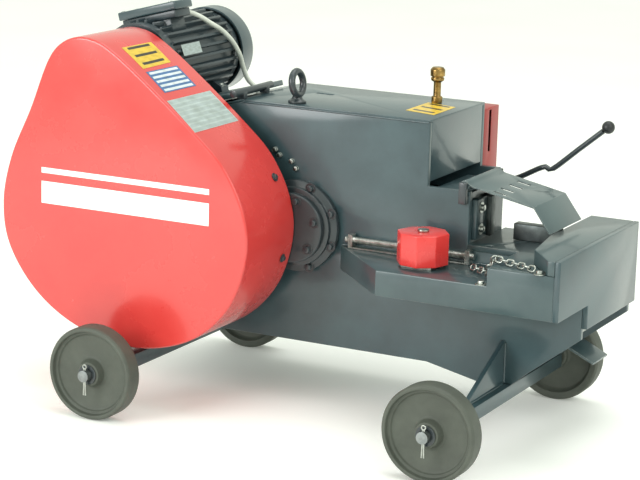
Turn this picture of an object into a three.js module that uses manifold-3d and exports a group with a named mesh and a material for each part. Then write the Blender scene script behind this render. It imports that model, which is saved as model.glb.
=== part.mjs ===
// Electric rebar cutter on four wheels, in millimetres, +Z up.
// X runs from the belt guard (-X) to the anvil (+X), Y from the belt guard's side (-Y) to the rear side (+Y).
// The origin is on the floor, under the middle of the machine's box.

import * as THREE from 'three';
import { mergeVertices } from 'three/addons/utils/BufferGeometryUtils.js';
import Module from 'manifold-3d';

const wasm = await Module();
wasm.setup();

// ---------- driving dimensions ----------

const GAP = 0.3; // left between neighbouring solids

// welded body
const BODY = { front: 19, back: 305, left: -430, end: 633, floor: 130, top: 646, sheet: 12, cover: 5 };
const BEND = { x: -180, slope: Math.tan(THREE.MathUtils.degToRad(15)) }; // the top slopes down to the left
const HEAD_X = 266; // end face of the head
const NECK = { x: 362, rear: 310, top: 507 }; // the ram's neck stands out of the head
const FOOT = { x0: 278, x1: 400, z1: 104, x2: 507, z2: 139, zEnd: 228 }; // lower edge over the front axle

// cutting table, ledge and anvil
const TABLE = { z: 395, thick: 12, back: 218 };
const LEDGE = { z: 357, floor: 303, front: -148, root: 68, corner: 232, step: 477, sheet: 10 };
const ANVIL = { x: 524, top: 426, plate: 12, plateFloor: 252 };

// drive
const FLYWHEEL = { x: -329, z: 430, r: 236, groove: 230, y0: -192, y1: -108 };
const MOTOR = { x: -430, z: 701, r: 97, root: 84, y0: -12, y1: 288, pulley: 46, shaftHeight: 100, tilt: 15 };
const BELT = { y0: -176, y1: -124, thick: 9 };
const CRANK = { x: -35, z: 388, journal: 35, throw: 22, eccentric: 60 };
const STAGE_1 = { module: 4, pinion: 18, gear: 54 };
const STAGE_2 = { module: 5, pinion: 17, gear: 51 };
const RAM = { y0: 36, y1: 118, z0: 401, z1: 491, x0: 100, x1: 352 };
const ROD_Y = { y0: 61, y1: 93 };
const WRIST = { x: 140, r: 12 };

// running gear
const WHEEL = { r: 100, width: 45, inner: 313, sides: 36, xFront: 454, xRear: -325, bore: 12.9 };
const AXLE = { half: 20, z0: 80, z1: 110, stub: 12.5, end: 380 };

// belt guard
const GUARD = { y0: -229, y1: -25, sheet: 4 };
const GUARD_OUTLINE = [
  [-24, 375], [-34, 455], [-80, 542], [-153, 611], [-349, 760], [-395, 782], [-450, 784], [-500, 753],
  [-562, 618], [-612, 508], [-632, 410], [-618, 321], [-548, 223], [-440, 157], [-289, 131], [-148, 172],
  [-60, 260],
];

// retaining cam and its rod
const CAM = { x: 297, y: -62, r: 55, z0: 363.5, z1: 430 };
const ROD = { y: 5, z: 375, r: 7, x0: 88, x1: 384 };

// hand lever's pivot and the belt tension screw
const LEVER = { x: 290, y: 322, z: 462 };
const TENSION = { x: -505, y: 150 };

// flap guard over the throat
const FLAP = { y0: 12, y1: 189, hingeX: 352, hingeZ: 519, sheet: 3 };

// ---------- materials ----------

const paint = (color, roughness = 0.45, metalness = 0.1) =>
  () => new THREE.MeshStandardMaterial({ color, roughness, metalness });
const TEAL_PAINT = paint(0x667b78);
const DARK_PAINT = paint(0x3f5152);
const RED_PAINT = paint(0xe2504a);
const WHEEL_GREY = paint(0x62685f, 0.6, 0);
const BRIGHT_STEEL = paint(0xb9bcb8, 0.3, 1);
const MACHINED_STEEL = paint(0x8d9190, 0.35, 1);
const CAST_IRON = paint(0x53585a, 0.6, 0.8);
const MOTOR_GREY = paint(0x3c494b, 0.5, 0.1);
const BRASS = paint(0xb08d55, 0.35, 1);
const BLACK_RUBBER = paint(0x1d1e1f, 0.8, 0);
const BLACK_PLASTIC = paint(0x222426, 0.4, 0);
const CABLE_WHITE = paint(0xd9dcd4, 0.5, 0);

// ---------- solid helpers ----------

const model = new THREE.Group();
model.name = 'rebar_cutter';

function signedVolume(geometry) {
  const p = geometry.attributes.position;
  const index = geometry.index;
  const count = index ? index.count : p.count;
  const at = (i) => new THREE.Vector3().fromBufferAttribute(p, index ? index.getX(i) : i);
  let sum = 0;
  for (let i = 0; i < count; i += 3) sum += at(i).dot(at(i + 1).cross(at(i + 2)));
  return sum / 6;
}

// the geometry as one indexed surface, its faces outwards
function welded(geometry) {
  const bare = new THREE.BufferGeometry();
  bare.setAttribute('position', geometry.attributes.position);
  if (geometry.index) bare.setIndex(geometry.index);
  const joined = mergeVertices(bare, 1e-3);
  const index = joined.index;
  const kept = [];
  for (let i = 0; i < index.count; i += 3) {
    const [a, b, c] = [index.getX(i), index.getX(i + 1), index.getX(i + 2)];
    if (a !== b && b !== c && c !== a) kept.push(a, b, c);
  }
  joined.setIndex(kept);
  if (signedVolume(joined) < 0) {
    for (let i = 0; i < kept.length; i += 3) [kept[i], kept[i + 1]] = [kept[i + 1], kept[i]];
    joined.setIndex(kept);
  }
  return joined;
}

function toManifold(geometry) {
  const g = welded(geometry);
  return new wasm.Manifold(new wasm.Mesh({
    numProp: 3,
    vertProperties: new Float32Array(g.attributes.position.array),
    triVerts: new Uint32Array(g.index.array),
  }));
}

function fromManifold(manifold) {
  const mesh = manifold.getMesh();
  const g = new THREE.BufferGeometry();
  g.setAttribute('position', new THREE.BufferAttribute(new Float32Array(mesh.vertProperties), 3));
  g.setIndex([...mesh.triVerts]);
  return g;
}

const join = (...parts) => fromManifold(parts.map(toManifold).reduce((a, b) => a.add(b)));
const cut = (base, ...tools) =>
  fromManifold(tools.map(toManifold).reduce((a, b) => a.subtract(b), toManifold(base)));

function add(name, geometry, material) {
  const mesh = new THREE.Mesh(welded(geometry), material());
  mesh.name = name;
  model.add(mesh);
}

const shapeOf = (points, holes = []) => {
  const shape = new THREE.Shape(points.map(([a, b]) => new THREE.Vector2(a, b)));
  for (const hole of holes) shape.holes.push(new THREE.Path(hole.map(([a, b]) => new THREE.Vector2(a, b))));
  return shape;
};
const extruded = (points, depth, holes) =>
  new THREE.ExtrudeGeometry(shapeOf(points, holes), { depth, bevelEnabled: false, curveSegments: 12 });

// an outline in x and z, from y0 to y1
const plateY = (points, y0, y1, holes) =>
  extruded(points, y1 - y0, holes).rotateX(Math.PI / 2).translate(0, y1, 0);
// an outline in x and y, from z0 to z1
const plateZ = (points, z0, z1, holes) => extruded(points, z1 - z0, holes).translate(0, 0, z0);
// an outline in y and z, from x0 to x1
const TO_X = new THREE.Matrix4().makeBasis(
  new THREE.Vector3(0, 1, 0), new THREE.Vector3(0, 0, 1), new THREE.Vector3(1, 0, 0));
const plateX = (points, x0, x1, holes) => extruded(points, x1 - x0, holes).applyMatrix4(TO_X).translate(x0, 0, 0);

const box = (x0, x1, y0, y1, z0, z1) =>
  new THREE.BoxGeometry(x1 - x0, y1 - y0, z1 - z0).translate((x0 + x1) / 2, (y0 + y1) / 2, (z0 + z1) / 2);

const circle = (x, z, r, sides = 24, turn = 0) =>
  Array.from({ length: sides }, (_, i) => {
    const a = turn + i * 2 * Math.PI / sides;
    return [x + r * Math.cos(a), z + r * Math.sin(a)];
  });

// a turned part about a line along Y through (x, z); its profile is a list of [radius, y]
const turnedY = (x, z, profile, sides = 32, turn = 0) =>
  new THREE.LatheGeometry(profile.map(([r, y]) => new THREE.Vector2(r, y)), sides, turn).translate(x, 0, z);
// a turned part about a line along Z through (x, y); its profile is a list of [radius, z]
const turnedZ = (x, y, profile, sides = 24) =>
  new THREE.LatheGeometry(profile.map(([r, z]) => new THREE.Vector2(r, z)), sides)
    .rotateX(Math.PI / 2).translate(x, y, 0);
const rodY = (x, z, r, y0, y1, sides = 24) => plateY(circle(x, z, r, sides), y0, y1);

// a round bar that follows a list of points
function bentBar(points, r, steps, sides = 10) {
  const path = new THREE.CatmullRomCurve3(points.map((p) => new THREE.Vector3(...p)), false, 'centripetal');
  const section = new THREE.Shape().absarc(0, 0, r, 0, 2 * Math.PI);
  return new THREE.ExtrudeGeometry(section, { steps, extrudePath: path, curveSegments: sides, bevelEnabled: false });
}

// ---------- welded body ----------

const topAt = (x) => BODY.top - Math.max(0, BEND.x - x) * BEND.slope;
const sheetTop = (x) => topAt(x) - BODY.cover - GAP;

// upperEdge is the side plate's edge from the head's end face to the end plate
function sidePlate(y0, upperEdge, holes) {
  const end = BODY.end - ANVIL.plate - GAP;
  const notch = WHEEL.xFront + AXLE.half + GAP;
  return plateY([
    [BODY.left, BODY.floor], [FOOT.x0, BODY.floor], [FOOT.x1, FOOT.z1],
    [WHEEL.xFront - AXLE.half - GAP, FOOT.z1], [WHEEL.xFront - AXLE.half - GAP, AXLE.z1 + GAP],
    [notch, AXLE.z1 + GAP], [FOOT.x2, FOOT.z2], [end, FOOT.zEnd], ...upperEdge,
    [HEAD_X, NECK.top], [HEAD_X, sheetTop(HEAD_X)], [BEND.x, sheetTop(BEND.x)], [BODY.left, sheetTop(BODY.left)],
  ], y0, y0 + BODY.sheet, holes);
}

function midShaft() {
  const a = STAGE_1.module * (STAGE_1.pinion + STAGE_1.gear) / 2;
  const b = STAGE_2.module * (STAGE_2.pinion + STAGE_2.gear) / 2;
  const dx = CRANK.x - FLYWHEEL.x;
  const dz = CRANK.z - FLYWHEEL.z;
  const d = Math.hypot(dx, dz);
  const along = (a * a - b * b + d * d) / (2 * d);
  const up = Math.sqrt(a * a - along * along);
  return { x: FLYWHEEL.x + (dx * along - dz * up) / d, z: FLYWHEEL.z + (dz * along + dx * up) / d };
}
const MID = midShaft();

function bodyPlates() {
  const end = BODY.end - ANVIL.plate - GAP;
  const shaftHoles = (crankHole) => [
    circle(CRANK.x, CRANK.z, crankHole, 36),
    circle(FLYWHEEL.x, FLYWHEEL.z, 25 + GAP, 24),
    circle(MID.x, MID.z, 20 + GAP, 20),
  ];
  const underTable = TABLE.z - TABLE.thick - GAP;
  add('side_plate_front', sidePlate(BODY.front, [
    [end, underTable], [NECK.x, underTable], [NECK.x, NECK.top],
  ], shaftHoles(61)), TEAL_PAINT);
  const lip = LEDGE.z - TABLE.thick - GAP;
  const leverStud = turnedY(LEVER.x, LEVER.z, [
    [0, BODY.back - 1], [15, BODY.back - 1], [15, LEVER.y - 8 - GAP], [9, LEVER.y - 8 - GAP], [9, LEVER.y + 9],
    [14, LEVER.y + 9], [14, LEVER.y + 15], [0, LEVER.y + 15],
  ], 16);
  add('side_plate_rear', join(sidePlate(BODY.back - BODY.sheet, [
    [end, underTable], [ANVIL.x - 2, underTable], [ANVIL.x - 2, lip], [NECK.rear, lip], [NECK.rear, NECK.top],
  ], shaftHoles(61)), leverStud), TEAL_PAINT);

  const inner0 = BODY.front + BODY.sheet + GAP;
  const inner1 = BODY.back - BODY.sheet - GAP;
  // the floor sheet turns up at the left end, where it carries the tension screw's bracket
  add('body_floor', cut(join(
    box(BODY.left, FOOT.x0, inner0, inner1, BODY.floor, BODY.floor + 8),
    box(BODY.left, BODY.left + 8, inner0, inner1, BODY.floor, sheetTop(BODY.left) - 3),
    box(TENSION.x - 25, BODY.left + 4, TENSION.y - 20, TENSION.y + 20, 505, 515),
  ), plateZ(circle(TENSION.x, TENSION.y, 8 + GAP, 12), 495, 525)), TEAL_PAINT);

  // the top cover is one sheet, bent over the head's end, with a slot for checking the gears
  const cover = plateY([
    [BODY.left, topAt(BODY.left)], [BEND.x, BODY.top], [HEAD_X, BODY.top],
    [HEAD_X, BODY.top - BODY.cover], [BEND.x, BODY.top - BODY.cover], [BODY.left, topAt(BODY.left) - BODY.cover],
  ], BODY.front, BODY.back);
  const endPlate = box(HEAD_X - 10, HEAD_X, inner0, inner1, NECK.top + 8, BODY.top - 1);
  const slot = box(-90, -48, 188, 200, BODY.top - 20, BODY.top + 20);
  add('top_cover', cut(join(cover, endPlate), slot), TEAL_PAINT);
}

// ---------- table, ledge and anvil ----------

function tableAndAnvil() {
  const end = BODY.end - ANVIL.plate - GAP;
  const wall = BODY.front - GAP;
  const inFront = LEDGE.front + LEDGE.sheet + GAP;
  const under = TABLE.z - TABLE.thick;
  const top = plateZ([
    [LEDGE.step, inFront], [end, inFront], [end, BODY.back], [ANVIL.x - 2, BODY.back], [ANVIL.x - 2, TABLE.back],
    [NECK.x + GAP, TABLE.back], [NECK.x + GAP, wall], [LEDGE.step, wall],
  ], under, TABLE.z, [circle(406, 33, 9, 14)]);
  const stepDown = box(NECK.rear + GAP, ANVIL.x - 2, TABLE.back - TABLE.thick, TABLE.back, LEDGE.z - TABLE.thick,
    under + 1);
  const lowStrip = box(NECK.rear + GAP, ANVIL.x - 2 - GAP, TABLE.back - 1, BODY.back, LEDGE.z - TABLE.thick, LEDGE.z);
  add('table_plate', join(top, stepDown, lowStrip), TEAL_PAINT);

  // the ledge is a welded tub that hangs on the side plate, with a riser under the table's edge
  const tub = (inset, z0, z1) => plateZ([
    [LEDGE.root + 1.5 * inset, wall + inset / 10], [LEDGE.corner + 0.4 * inset, LEDGE.front + inset],
    [end - inset, LEDGE.front + inset], [end - inset, wall + inset / 10],
  ], z0, z1);
  const riser = join(
    box(LEDGE.step, end, LEDGE.front, LEDGE.front + LEDGE.sheet, LEDGE.z - 1, TABLE.z),
    box(LEDGE.step, LEDGE.step + LEDGE.sheet, LEDGE.front, wall, LEDGE.z - 1, under - GAP));
  add('ledge', cut(join(tub(0, LEDGE.floor, LEDGE.z), riser),
    tub(LEDGE.sheet, LEDGE.floor + 6, LEDGE.z - TABLE.thick)), TEAL_PAINT);

  add('anvil_block', plateZ([
    [ANVIL.x, 66], [546, -71], [606, LEDGE.front], [end, LEDGE.front], [end, BODY.back], [ANVIL.x, BODY.back],
  ], TABLE.z + GAP, ANVIL.top), TEAL_PAINT);
  add('anvil_end_plate', plateX([
    [LEDGE.front, LEDGE.floor], [BODY.front, LEDGE.floor], [BODY.front, ANVIL.plateFloor],
    [BODY.back, ANVIL.plateFloor], [BODY.back, ANVIL.top], [LEDGE.front, ANVIL.top],
  ], BODY.end - ANVIL.plate, BODY.end), TEAL_PAINT);
  // the fixed blade stands in front of the shear plane, the moving blade behind it
  add('fixed_blade', box(422, ANVIL.x - GAP, RAM.y1 + GAP, RAM.y1 + 26, TABLE.z + GAP, ANVIL.top + 4), MACHINED_STEEL);
}

// ---------- ram and its guides ----------

function ramAndGuides() {
  const guideX0 = 278;
  const guide = box(guideX0, NECK.x, BODY.front + BODY.sheet + GAP, 200, RAM.z0 - 14, RAM.z1 + 13);
  add('ram_guide', cut(guide,
    box(guideX0 - 1, NECK.x + 1, RAM.y0 - GAP, RAM.y1 + GAP, RAM.z0 - GAP, RAM.z1 + GAP)), TEAL_PAINT);

  // the ram ends in a fork that holds the wrist pin
  const bar = box(RAM.x0, RAM.x1, RAM.y0, RAM.y1, RAM.z0, RAM.z1);
  const forkGap = box(RAM.x0 - 1, 277, ROD_Y.y0 - 4, ROD_Y.y1 + 4, RAM.z0 - 1, RAM.z1 + 1);
  const pin = rodY(WRIST.x, (RAM.z0 + RAM.z1) / 2, WRIST.r, RAM.y0 + 4, RAM.y1 - 4, 16);
  add('ram', join(cut(bar, forkGap), pin), MACHINED_STEEL);
  const shear = RAM.y1 - 1;
  add('moving_blade', box(RAM.x1 + GAP, 380, shear - 25, shear, RAM.z0 + 1, RAM.z1 - 4), MACHINED_STEEL);
  add('blade_holder', box(RAM.x1 + GAP, 372, RAM.y0 + 1, shear - 25 - GAP, RAM.z0 + 1, RAM.z1 - 4), TEAL_PAINT);
}

// ---------- gears and shafts ----------

// a spur gear's outline; at turn 0 a tooth points along +X
function gearOutline(x, z, teeth, module, turn) {
  const r = teeth * module / 2;
  const pitch = 2 * Math.PI / teeth;
  const points = [];
  for (let i = 0; i < teeth; i++) {
    const a = turn + i * pitch;
    for (const [share, radius] of [
      [-0.27, r - 1.2 * module], [-0.12, r + 0.85 * module], [0.12, r + 0.85 * module], [0.27, r - 1.2 * module],
    ]) points.push([x + radius * Math.cos(a + share * pitch), z + radius * Math.sin(a + share * pitch)]);
  }
  return points;
}

// the turn that puts the driven gear's gap on the line of centres where the driver has a tooth
function meshTurn(from, to, driverTeeth, driverTurn, drivenTeeth) {
  const line = Math.atan2(to.z - from.z, to.x - from.x);
  const phase = (line - driverTurn) / (2 * Math.PI / driverTeeth);
  return line + Math.PI + (phase - 0.5) * (2 * Math.PI / drivenTeeth);
}

function gearTrain() {
  const gear1Turn = meshTurn(FLYWHEEL, MID, STAGE_1.pinion, 0, STAGE_1.gear);
  const gear2Turn = meshTurn(MID, CRANK, STAGE_2.pinion, 0, STAGE_2.gear);

  const shaft = turnedY(FLYWHEEL.x, FLYWHEEL.z, [
    [0, -206], [24.7, -206], [24.7, 292], [0, 292],
  ], 28);
  const pinion1 = plateY(gearOutline(FLYWHEEL.x, FLYWHEEL.z, STAGE_1.pinion, STAGE_1.module, 0), 214, 262);
  add('pinion_shaft', join(shaft, pinion1), MACHINED_STEEL);

  const midShaftBar = rodY(MID.x, MID.z, 20, 20, 304, 20);
  const pinion2 = plateY(gearOutline(MID.x, MID.z, STAGE_2.pinion, STAGE_2.module, 0), 164, 211);
  add('intermediate_shaft', join(midShaftBar, pinion2), MACHINED_STEEL);
  add('intermediate_gear', plateY(gearOutline(MID.x, MID.z, STAGE_1.gear, STAGE_1.module, gear1Turn), 218, 258,
    [circle(MID.x, MID.z, 20 + GAP, 20)]), CAST_IRON);

  add('crank_gear', plateY(gearOutline(CRANK.x, CRANK.z, STAGE_2.gear, STAGE_2.module, gear2Turn), 168, 208,
    [circle(CRANK.x, CRANK.z, CRANK.journal + GAP, 28)]), CAST_IRON);
  const journal = rodY(CRANK.x, CRANK.z, CRANK.journal, 2, 304, 28);
  const eccentric = rodY(CRANK.x - CRANK.throw, CRANK.z, CRANK.eccentric, ROD_Y.y0 - 1, ROD_Y.y1 + 1, 36);
  add('crankshaft', join(journal, eccentric), MACHINED_STEEL);

  // the rod's strap fits the eccentric, and its slotted eye leaves the wrist pin free
  const strap = circle(CRANK.x - CRANK.throw, CRANK.z, CRANK.eccentric + 18, 36);
  const pinZ = (RAM.z0 + RAM.z1) / 2;
  const eyeHalf = 2 * CRANK.throw;
  const obround = (r) => [
    ...Array.from({ length: 13 }, (_, i) => -Math.PI / 2 + i * Math.PI / 12)
      .map((a) => [WRIST.x + eyeHalf + r * Math.cos(a), pinZ + r * Math.sin(a)]),
    ...Array.from({ length: 13 }, (_, i) => Math.PI / 2 + i * Math.PI / 12)
      .map((a) => [WRIST.x - eyeHalf + r * Math.cos(a), pinZ + r * Math.sin(a)]),
  ];
  const shank = [[-25, 325], [75, 402], [75, 488], [-25, 450]];
  const slotR = CRANK.throw + WRIST.r + 1;
  const { y0, y1 } = ROD_Y;
  const blank = join(plateY(strap, y0, y1), plateY(obround(slotR + 10), y0, y1), plateY(shank, y0, y1));
  add('connecting_rod', cut(blank,
    plateY(circle(CRANK.x - CRANK.throw, CRANK.z, CRANK.eccentric + GAP, 36), y0 - 1, y1 + 1),
    plateY(obround(slotR), y0 - 1, y1 + 1)), CAST_IRON);

  // bearing flange and cap on the guard's side, plain covers on the rear side
  const face = BODY.front - GAP;
  add('crank_bearing_flange', turnedY(CRANK.x, CRANK.z, [
    [CRANK.journal + GAP, -7], [86, -7], [86, 2], [100, 6], [100, face], [60, face], [60, 30],
    [CRANK.journal + GAP, 30], [CRANK.journal + GAP, -7],
  ], 36), DARK_PAINT);
  add('crank_bearing_cap', turnedY(CRANK.x, CRANK.z, [[0, -22], [74, -22], [76, -20], [76, -7.3], [0, -7.3]], 36),
    DARK_PAINT);
  const outside = BODY.back + GAP;
  for (const [name, at, r] of [
    ['crank_cover', CRANK, 90], ['pinion_cover', FLYWHEEL, 62],
  ]) add(name, turnedY(at.x, at.z, [[0, outside], [r, outside], [r, outside + 9], [r * 0.6, outside + 14],
    [0, outside + 14]], 28), DARK_PAINT);
}

// ---------- belt drive ----------

// the loop round both pulleys, at the given distance out from their grooves
function beltLoop(out) {
  const big = { x: FLYWHEEL.x, z: FLYWHEEL.z, r: FLYWHEEL.groove + out };
  const small = { x: MOTOR.x, z: MOTOR.z, r: MOTOR.pulley + out };
  const line = Math.atan2(small.z - big.z, small.x - big.x);
  const d = Math.hypot(small.x - big.x, small.z - big.z);
  const reach = Math.acos((big.r - small.r) / d);
  const arc = (c, from, to, n) => Array.from({ length: n + 1 }, (_, i) => {
    const a = from + (to - from) * i / n;
    return [c.x + c.r * Math.cos(a), c.z + c.r * Math.sin(a)];
  });
  return [...arc(small, line - reach, line + reach, 12), ...arc(big, line + reach, line + 2 * Math.PI - reach, 56)];
}

function beltDrive() {
  const { x, z, r, groove, y0, y1 } = FLYWHEEL;
  add('flywheel', turnedY(x, z, [
    [25, -204], [52, -204], [52, -162], [188, -162], [188, y0], [r, y0], [r, BELT.y0 - 6], [groove, BELT.y0 - 6],
    [groove, BELT.y1 + 6], [r, BELT.y1 + 6], [r, y1], [188, y1], [188, -140], [52, -140], [52, -96], [25, -96],
    [25, -204],
  ], 44), CAST_IRON);
  add('drive_belt', plateY(beltLoop(GAP + BELT.thick), BELT.y0, BELT.y1, [beltLoop(GAP)]), BLACK_RUBBER);

  const p = MOTOR.pulley;
  add('motor_pulley', turnedY(MOTOR.x, MOTOR.z, [
    [14.3, -186], [p + 4, -186], [p + 4, BELT.y0 - 6], [p, BELT.y0 - 6], [p, BELT.y1 + 6], [p + 4, BELT.y1 + 6],
    [p + 4, -112], [14.3, -112], [14.3, -186],
  ], 28), CAST_IRON);
  add('motor_shaft', turnedY(MOTOR.x, MOTOR.z, [
    [0, -184], [14, -184], [14, 30], [58, 30], [58, 200], [14, 200], [14, 312], [0, 312],
  ], 24), MACHINED_STEEL);
  const blades = circle(MOTOR.x, MOTOR.z, 30, 24);
  const hub = plateY(blades, 296, 314, [circle(MOTOR.x, MOTOR.z, 14.3, 16)]);
  const vanes = [0, 1, 2, 3, 4, 5].map((i) => box(26, 78, -2, 2, 298, 322).rotateX(-Math.PI / 2)
    .rotateY(i * Math.PI / 3).translate(MOTOR.x, 0, MOTOR.z));
  add('cooling_fan', join(hub, ...vanes.map((v) => {
    v.computeBoundingBox();
    const mid = (v.boundingBox.min.y + v.boundingBox.max.y) / 2;
    return v.translate(0, 308 - mid, 0);
  })), BLACK_PLASTIC);
}

// ---------- motor ----------

function motor() {
  const tilt = THREE.MathUtils.degToRad(MOTOR.tilt);
  // pieces made upright about the motor's axis, then tilted with its base
  const tilted = (g) => g.rotateY(-tilt).translate(MOTOR.x, 0, MOTOR.z);
  const fins = 28;
  const ring = [];
  for (let i = 0; i < fins; i++) {
    const a = (i + 0.5) * 2 * Math.PI / fins;
    const w = 2 * Math.PI / fins;
    for (const [share, r] of [[-0.2, MOTOR.root], [-0.13, MOTOR.r], [0.13, MOTOR.r], [0.2, MOTOR.root]]) {
      ring.push([r * Math.cos(a + share * w), r * Math.sin(a + share * w)]);
    }
  }
  const finned = plateY(ring, 14, 270);
  const shields = [
    plateY(circle(0, 0, 92, 32), MOTOR.y0, 14.5), plateY(circle(0, 0, 90, 32), 269.5, MOTOR.y1),
  ];
  const feet = [plateY([[-80, -100], [80, -100], [80, -88], [50, -60], [-50, -60], [-80, -88]], 40, 70),
    plateY([[-80, -100], [80, -100], [80, -88], [50, -60], [-50, -60], [-80, -88]], 190, 220)];
  const pad = box(-36, 70, 56, 112, 50, 84);
  const padRoom = box(-64, 100, 44, 134, 84, 110);
  const hollow = turnedY(0, 0, [[0, 24], [64, 24], [64, 206], [0, 206]], 24);
  const bores = plateY(circle(0, 0, 14.3, 16), MOTOR.y0 - 1, MOTOR.y1 + 1);
  add('motor_housing', tilted(cut(join(finned, ...shields, ...feet, pad), padRoom, hollow, bores)), MOTOR_GREY);
  add('terminal_box', tilted(box(-52, 87, 52, 116, 84 + GAP, 101)), MOTOR_GREY);
  add('terminal_lid', tilted(box(-58, 93, 48, 122, 101 + GAP, 120)), TEAL_PAINT);
  add('cable_gland', tilted(plateY(circle(60, 92.6, 8, 12), 116 + GAP, 129)), BLACK_PLASTIC);

  const cowl = turnedY(MOTOR.x, MOTOR.z, [
    [91, 292], [98, 292], [98, 338], [88, 350], [34, 354], [34, 351], [86, 347], [95, 337], [95, 294.5],
    [91, 294.5], [91, 292],
  ], 36);
  add('fan_cowl', cowl, TEAL_PAINT);

  const plate = plateY([[-160, -112], [205, -112], [205, -100 - GAP], [-160, -100 - GAP]], 20, 250);
  add('motor_base_plate', tilted(plate), TEAL_PAINT);
  const lugs = [20, 120].map((y) => box(-193, -175, y, y + 14, BODY.top + GAP, 661));
  add('base_hinge_bar', join(rodY(-184, 661, 8, -14, 156, 16), ...lugs), DARK_PAINT);
  add('tension_screw', turnedZ(TENSION.x, TENSION.y, [
    [0, 500], [8, 500], [8, 520], [14, 520], [14, 532], [8, 532], [8, 562], [0, 562],
  ], 12), BRIGHT_STEEL);

  add('motor_cable', bentBar([
    [-395.8, 130.6, 805.4], [-395.6, 137, 805.4], [-390, 148, 804], [-377, 165, 796], [-361, 187, 780], [-340.5, 222, 754],
    [-326, 258, 710], [-325, 283, 668], [-320, 296, 641], [-310, 309, 625], [-288, 314, 604],
    [-230, 315, 592], [-60, 315, 588],
    [80, 316, 588], [149.6, 320, 588],
  ], 5.5, 56, 10), CABLE_WHITE);
}

// ---------- belt guard ----------

function guardLoop(inset) {
  const curve = new THREE.CatmullRomCurve3(
    GUARD_OUTLINE.map(([x, z]) => new THREE.Vector3(x, 0, z)), true, 'centripetal');
  const n = 76;
  return Array.from({ length: n }, (_, i) => {
    const p = curve.getPointAt(i / n);
    const t = curve.getTangentAt(i / n);
    return [p.x - t.z * inset, p.z + t.x * inset];
  });
}

function beltGuard() {
  const { y0, y1, sheet } = GUARD;
  const shell = cut(plateY(guardLoop(0), y0, y1), plateY(guardLoop(sheet), y0 + sheet, y1 + 1));
  add('belt_guard', shell, RED_PAINT);
  const back = plateY(guardLoop(sheet + GAP), y1 - 3, y1);
  // two studs hold the back plate off the side plate
  const studs = [560, 250].map((z) => rodY(-200, z, 12, y1 - 1, BODY.front - GAP, 12));
  add('guard_back_plate', cut(join(back, ...studs),
    plateY(circle(CRANK.x, CRANK.z, 108, 32), y1 - 9, y1 + 9),
    plateY(circle(FLYWHEEL.x, FLYWHEEL.z, 40, 24), y1 - 9, y1 + 9),
    plateY(circle(MOTOR.x, MOTOR.z, 40, 24), y1 - 9, y1 + 9)), DARK_PAINT);
}

// ---------- running gear ----------

function axle(x) {
  const beam = box(x - AXLE.half, x + AXLE.half, -306, 306, AXLE.z0, AXLE.z1);
  const stub = (y0, y1) => rodY(x, WHEEL.r, AXLE.stub, y0, y1, 20);
  return join(beam, stub(-AXLE.end, -305), stub(305, AXLE.end));
}

// side is -1 for the wheels on the guard's side and 1 for the rear ones
function wheel(x, side) {
  const rim = WHEEL.r / Math.cos(Math.PI / WHEEL.sides); // a flat of the tyre meets the floor
  const y = (d) => side * (WHEEL.inner + d);
  const w = WHEEL.width;
  return turnedY(x, WHEEL.r, [
    [WHEEL.bore, y(0)], [26, y(0)], [28, y(14)], [80, y(16)], [84, y(1)], [rim - 3, y(1)], [rim, y(5)],
    [rim, y(w - 5)], [rim - 3, y(w)], [86, y(w)], [81, y(w - 10)], [30, y(w - 12)], [24, y(w + 3)],
    [WHEEL.bore, y(w + 3)], [WHEEL.bore, y(0)],
  ], WHEEL.sides, Math.PI / WHEEL.sides);
}

function runningGear() {
  const gusset = plateX([
    [BODY.front - GAP, 203], [BODY.front - GAP, AXLE.z1 - 1], [-165, AXLE.z1 - 1], [-165, AXLE.z1 + 6],
  ], WHEEL.xFront - 8, WHEEL.xFront + 2);
  add('front_axle', join(axle(WHEEL.xFront), gusset), TEAL_PAINT);
  const saddle = box(WHEEL.xRear - 26, WHEEL.xRear + 26, BODY.front, BODY.back, AXLE.z1 - 1, BODY.floor - GAP);
  add('rear_axle', join(axle(WHEEL.xRear), saddle), TEAL_PAINT);
  for (const [name, x, side] of [
    ['wheel_front_left', WHEEL.xRear, -1], ['wheel_front_right', WHEEL.xFront, -1],
    ['wheel_rear_left', WHEEL.xRear, 1], ['wheel_rear_right', WHEEL.xFront, 1],
  ]) add(name, wheel(x, side), WHEEL_GREY);
}

// ---------- controls, guards and small parts ----------

function retainingCam() {
  const radii = [1, 0.97, 1, 0.94, 1, 0.98, 1, 0.95];
  const outline = radii.map((share, i) => {
    const a = Math.PI / 8 + i * Math.PI / 4 - 0.2;
    return [CAM.x + share * CAM.r * Math.cos(a), CAM.y + share * CAM.r * Math.sin(a)];
  });
  add('retaining_cam', plateZ(outline, CAM.z0, CAM.z1, [circle(CAM.x, CAM.y, 8 + GAP, 16)]), RED_PAINT);
  const seat = LEDGE.z + GAP;
  const foot = box(CAM.x - 34, CAM.x + 34, CAM.y - 32, -1, seat, CAM.z0 - GAP);
  const nut = box(CAM.x - 20, CAM.x + 20, -5.5, 14.5, seat + 4.5, ROD.z + 11);
  const pivot = turnedZ(CAM.x, CAM.y, [
    [0, CAM.z0 - 2], [8, CAM.z0 - 2], [8, CAM.z1 + GAP], [12, CAM.z1 + GAP], [12, CAM.z1 + 5], [0, CAM.z1 + 5],
  ], 16);
  const thread = plateX(circle(ROD.y, ROD.z, ROD.r + GAP, 14), CAM.x - 30, CAM.x + 30);
  const footCut = box(CAM.x - 40, CAM.x + 40, -6, 20, seat - 1, seat + 4.4);
  add('cam_carriage', cut(join(cut(foot, footCut), nut, pivot), thread), BRIGHT_STEEL);
  const rod = plateX(circle(ROD.y, ROD.z, ROD.r, 14), ROD.x0, ROD.x1);
  const ear = (x) => box(x, x + 10, -4, 14, seat, ROD.z + 12);
  add('adjuster_rod', join(rod, box(96, 376, -4, 14, seat, seat + 3), ear(96), ear(366)), BRIGHT_STEEL);
}

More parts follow.
